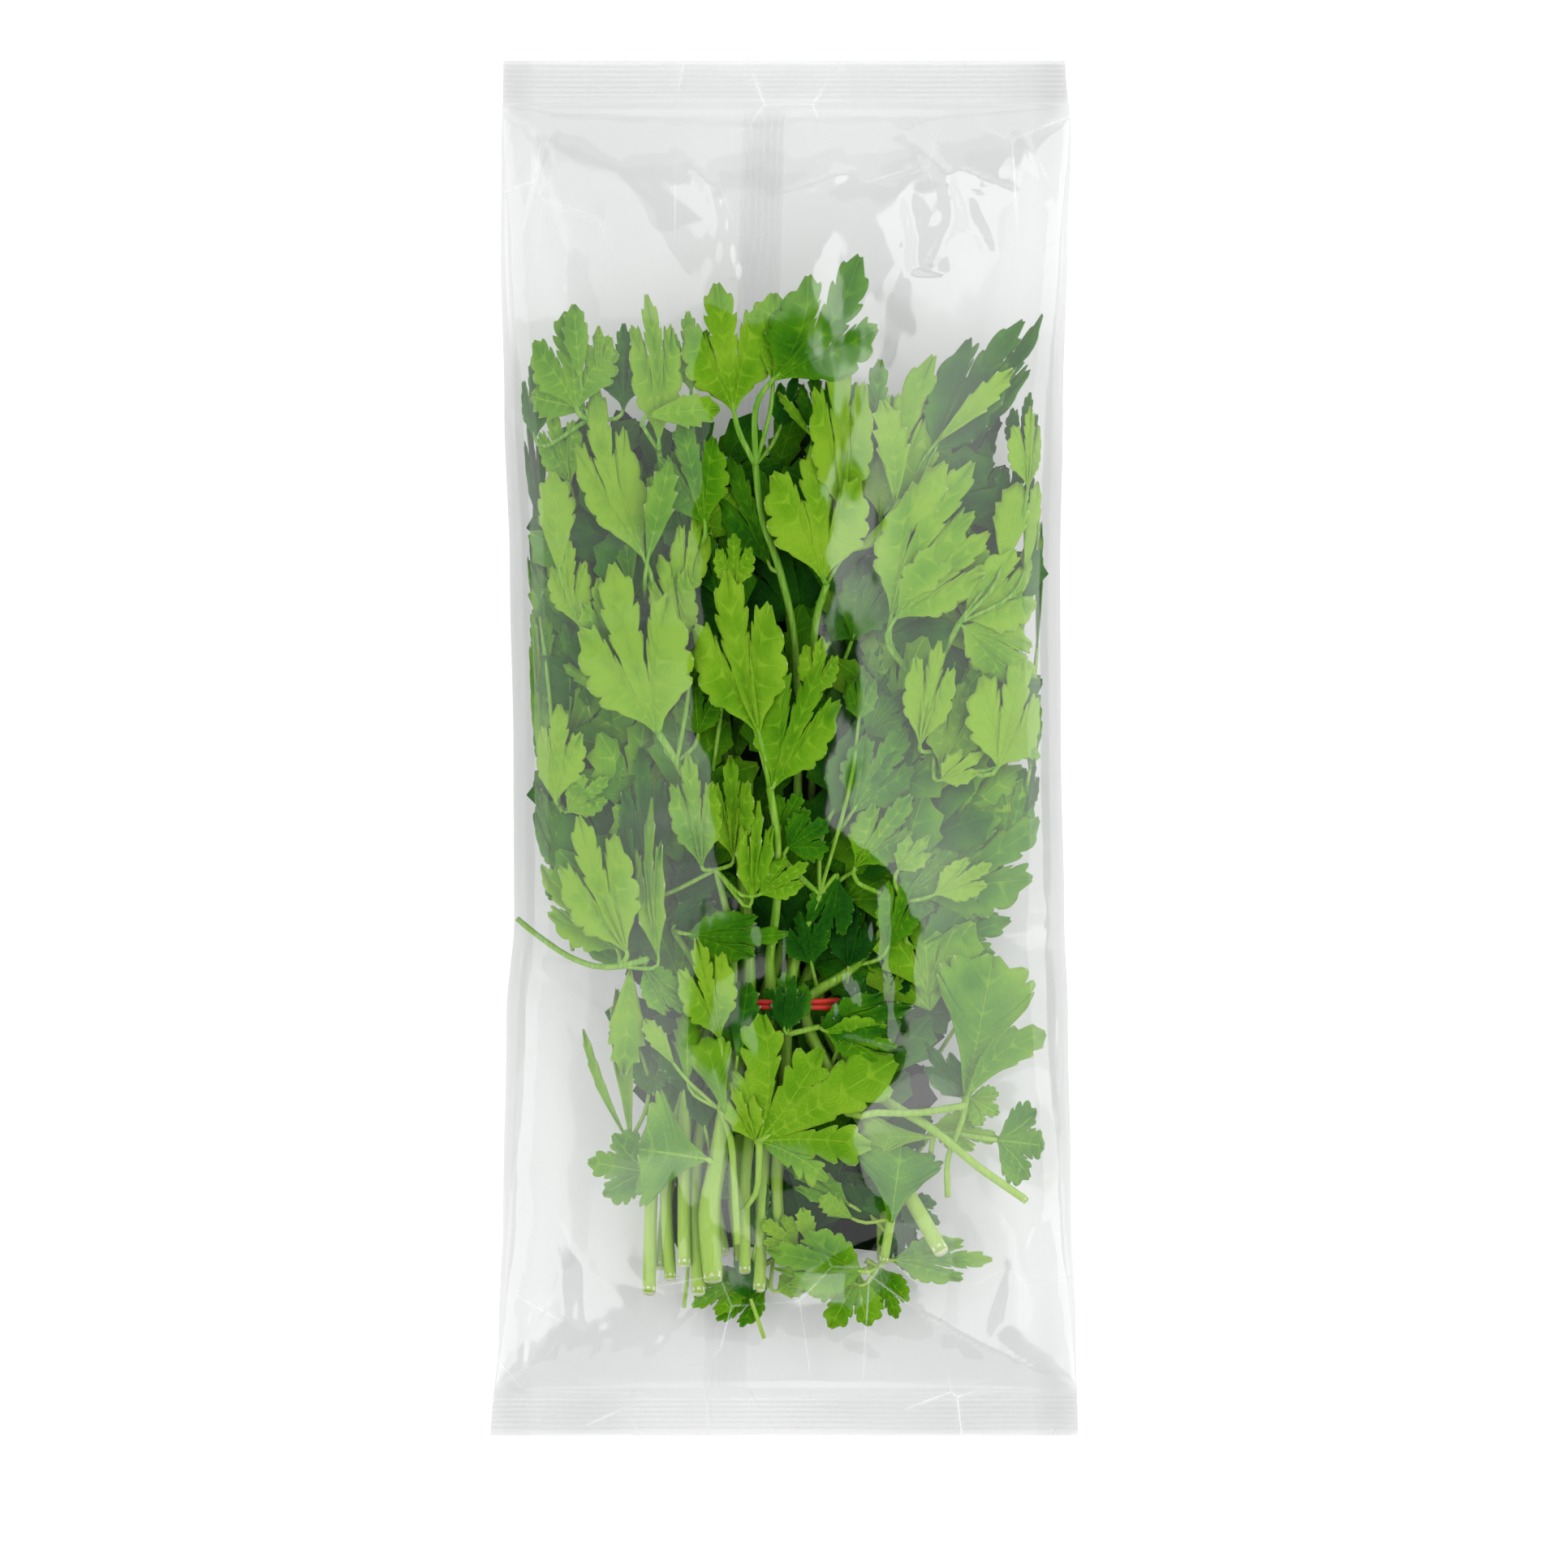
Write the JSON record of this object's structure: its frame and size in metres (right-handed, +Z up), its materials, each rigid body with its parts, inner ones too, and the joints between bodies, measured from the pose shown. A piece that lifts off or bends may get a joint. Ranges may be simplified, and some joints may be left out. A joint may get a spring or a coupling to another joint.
{
  "type": "parsley bunch",
  "caption": "Bunch of flat-leaf parsley, its stems held by a red rubber band, lying in a clear sealed film bag.",
  "frame": {"origin": "on the table under the middle of the bag's bounding box", "axes": "+Y from the cut stems to the leaf tips, along the bag; +X across the bag, to the right when seen from above with the tips up; +Z up, out of the bag's front film"},
  "size_m": [0.1662, 0.389, 0.037],
  "materials": {
    "parsley": null,
    "band": "plain red rubber",
    "film": "clear, glossy, thin film"
  },
  "bodies": {
    "root": {"stem_top_left": "parsley", "stem_left_upper": "parsley", "stem_top_mid": "parsley", "stem_top_fork": "parsley", "stem_top_centre": "parsley", "stem_top_right": "parsley", "stem_right_upper": "parsley", "stem_left_mid": "parsley", "stem_centre": "parsley", "stem_left_edge": "parsley", "stem_left_low": "parsley", "stem_centre_low": "parsley", "stem_right_mid": "parsley", "stem_right_low": "parsley", "stem_crossing": "parsley", "loose_leaf": "parsley", "low_left_leaf": "parsley", "low_left_tuft": "parsley", "star_leaf": "parsley", "low_right_leaf": "parsley", "low_right_round": "parsley", "low_mid_leaf": "parsley", "low_mid_pale": "parsley", "bottom_leaf": "parsley", "bottom_left_leaf": "parsley", "tie_leaf": "parsley", "rubber_band": "band", "film_bag": "film"}
  },
  "joints": []
}
